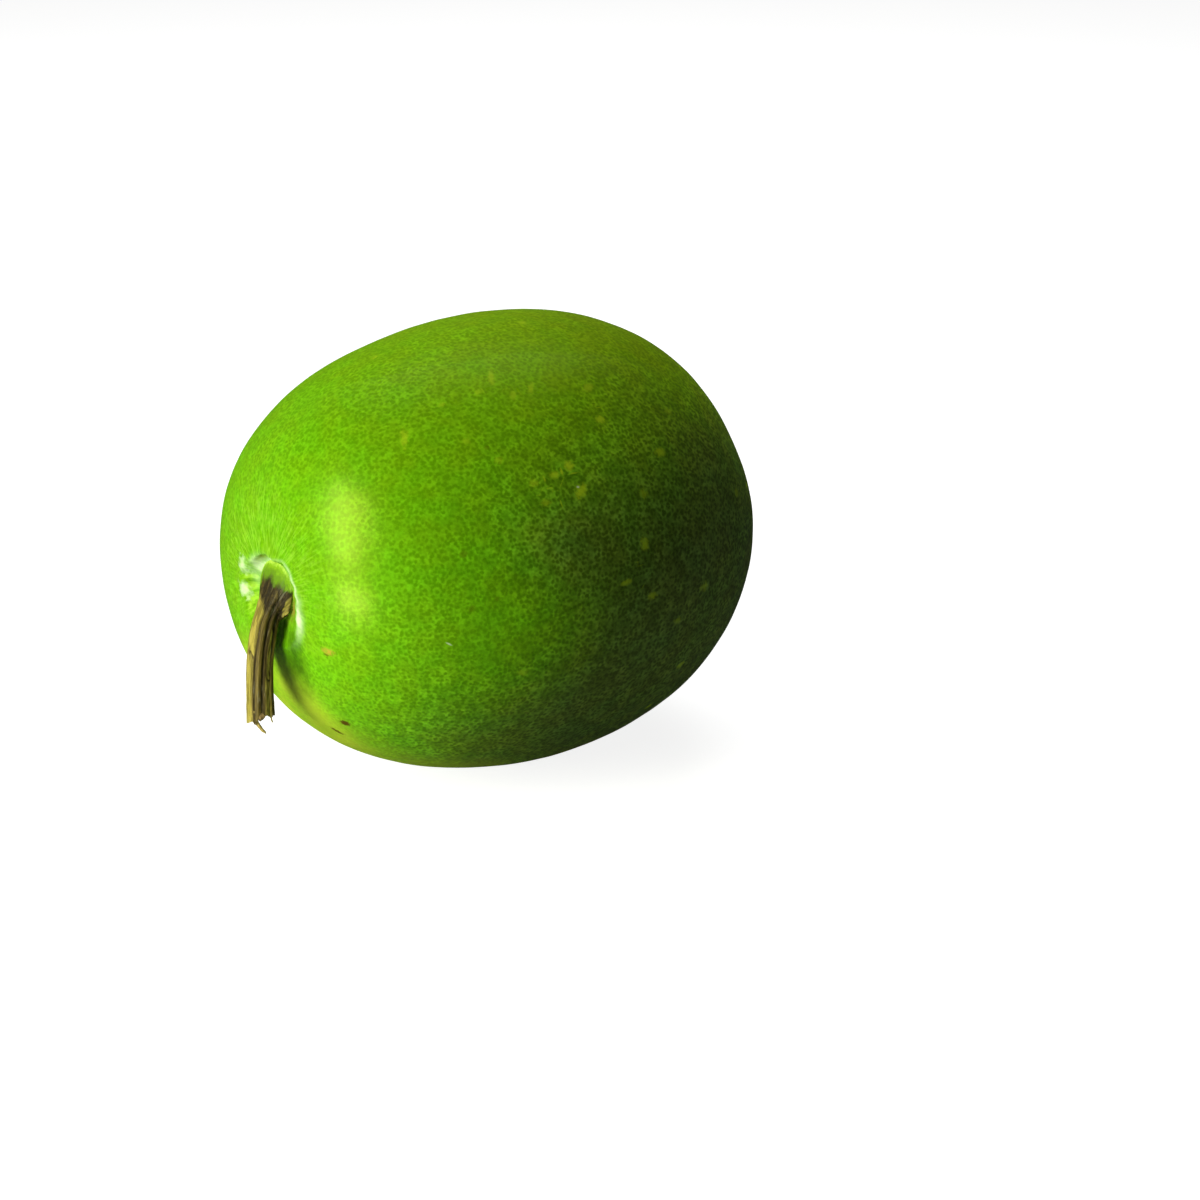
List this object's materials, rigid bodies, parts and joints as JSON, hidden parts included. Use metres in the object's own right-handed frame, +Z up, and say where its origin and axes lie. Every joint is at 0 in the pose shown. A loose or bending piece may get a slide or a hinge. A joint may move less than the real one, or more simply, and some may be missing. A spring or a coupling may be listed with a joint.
{
  "type": "wax gourd",
  "caption": "Whole short, blunt-ended wax gourd lying on its side, with a dimpled stem end and a short dried ribbed stem that bends down.",
  "frame": {"origin": "on the surface the gourd rests on, in the flat resting spot, straight below the middle of the fruit", "axes": "+X along the fruit towards its flower end, with the stem at -X; +Z up; +Y across the fruit"},
  "size_m": [0.1993, 0.1596, 0.1558],
  "materials": {
    "skin": "smooth satin-gloss rind, lime green at the stem end and dark green at the other, finely mottled",
    "stem_bark": "dry grooved fibrous bark, green where it meets the fruit"
  },
  "bodies": {
    "root": {"fruit": "skin", "stem": "stem_bark"}
  },
  "joints": []
}
